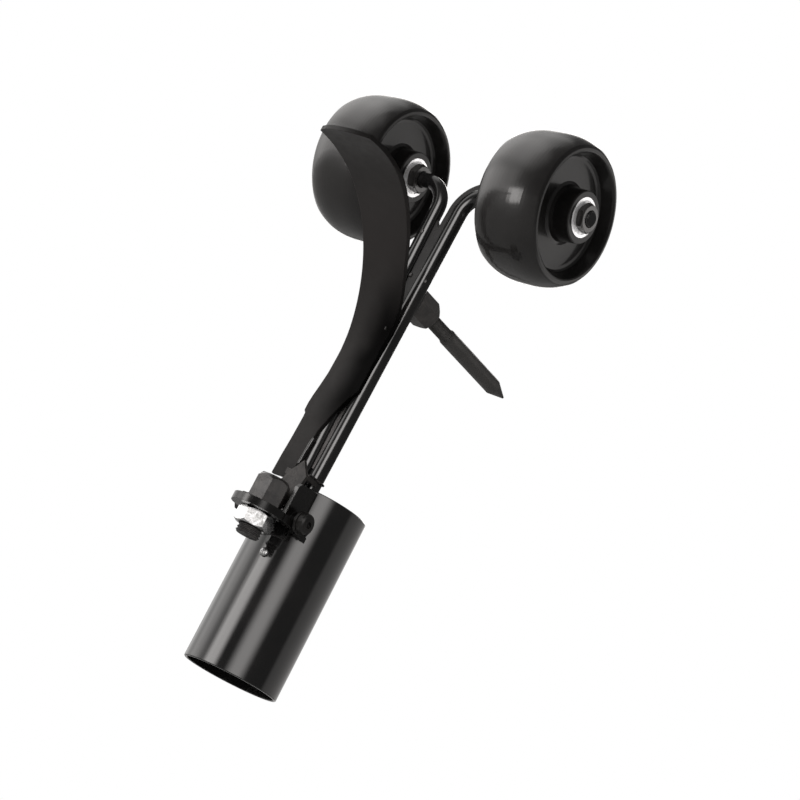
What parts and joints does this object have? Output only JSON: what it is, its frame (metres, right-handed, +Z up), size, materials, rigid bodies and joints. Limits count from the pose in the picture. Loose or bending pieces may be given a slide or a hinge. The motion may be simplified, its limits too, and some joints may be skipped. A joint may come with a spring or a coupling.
{
  "type": "twin-wheel trailer jack attachment",
  "caption": "Sleeve tube with a hinged bent-rod fork carrying ball-bearing wheels, a curved blade, a threaded ground spike and a tilt adjusting stud.",
  "frame": {"origin": "centre of the open lower mouth of the sleeve tube", "axes": "+Z up the tube axis towards the wheels, Y along the wheel axle (left wheel at +Y), +X towards the ground spike"},
  "size_m": [0.281, 0.2068, 0.3981],
  "materials": {
    "black_enamel": "gloss black enamel",
    "satin_black": "satin black paint",
    "black_oxide": "matt black oxide",
    "wheel_rubber": "hard moulded black, satin",
    "zinc": "bright zinc plate",
    "bearing_steel": "ground bright steel",
    "brass_cage": "pressed brass"
  },
  "bodies": {
    "sleeve": {"sleeve_tube": "black_enamel", "tube_set_screw": "zinc", "ear_bracket": "satin_black", "pivot_pin": "black_oxide", "pivot_washers": "black_oxide", "pivot_nut": "black_oxide"},
    "wheel_frame": {"fork_rod_left": "black_enamel", "fork_rod_right": "black_enamel", "rod_tie_bar": "satin_black", "frame_foot": "satin_black", "curved_blade": "satin_black", "spike_nut": "black_oxide", "adjuster_hex": "black_oxide", "adjuster_stud": "black_oxide", "axle_inner_nuts": "black_oxide", "axle_outer_nuts": "black_oxide", "bearing_inner_rings": "bearing_steel", "bearing_spacers": "bearing_steel"},
    "lock_nut": {"adjuster_lock_nut": "zinc"},
    "spike": {"ground_spike": "black_oxide"},
    "left_wheel": {"left_wheel": "wheel_rubber", "left_bearing_outer_rings": "bearing_steel", "left_bearing_shields": "bearing_steel"},
    "right_wheel": {"right_wheel": "wheel_rubber", "right_bearing_outer_rings": "bearing_steel", "right_bearing_shields": "bearing_steel"},
    "left_ball_sets": {"left_bearing_balls": "bearing_steel", "left_bearing_cages": "brass_cage"},
    "right_ball_sets": {"right_bearing_balls": "bearing_steel", "right_bearing_cages": "brass_cage"}
  },
  "joints": [
    {"name": "head_tilt", "type": "hinge", "parent": "sleeve", "child": "wheel_frame", "pos_m": [-0.0362, 0, 0.1007], "axis": [0, 1, 0], "range_deg": [0, 6]},
    {"name": "lock_nut_travel", "type": "slide", "parent": "wheel_frame", "child": "lock_nut", "axis": [0, 0, -1], "range_m": [0, 0.0031]},
    {"name": "spike_feed", "type": "slide", "parent": "wheel_frame", "child": "spike", "axis": [0.9999, 0, -0.0122], "range_m": [0, 0.015]},
    {"name": "left_wheel_spin", "type": "hinge", "parent": "wheel_frame", "child": "left_wheel", "pos_m": [-0.0206, 0.068, 0.3486], "axis": [0, 1, 0], "continuous": true},
    {"name": "right_wheel_spin", "type": "hinge", "parent": "wheel_frame", "child": "right_wheel", "pos_m": [-0.0206, -0.068, 0.3486], "axis": [0, 1, 0], "continuous": true},
    {"name": "left_ball_orbit", "type": "hinge", "parent": "wheel_frame", "child": "left_ball_sets", "pos_m": [-0.0206, 0.068, 0.3486], "axis": [0, 1, 0], "continuous": true},
    {"name": "right_ball_orbit", "type": "hinge", "parent": "wheel_frame", "child": "right_ball_sets", "pos_m": [-0.0206, -0.068, 0.3486], "axis": [0, 1, 0], "continuous": true}
  ],
  "couplings": [
    {"joint": "lock_nut_travel", "follows": "head_tilt", "m_per_rad": 0.0285},
    {"joint": "left_ball_orbit", "follows": "left_wheel_spin", "ratio": 0.6323},
    {"joint": "right_ball_orbit", "follows": "right_wheel_spin", "ratio": 0.6323}
  ]
}
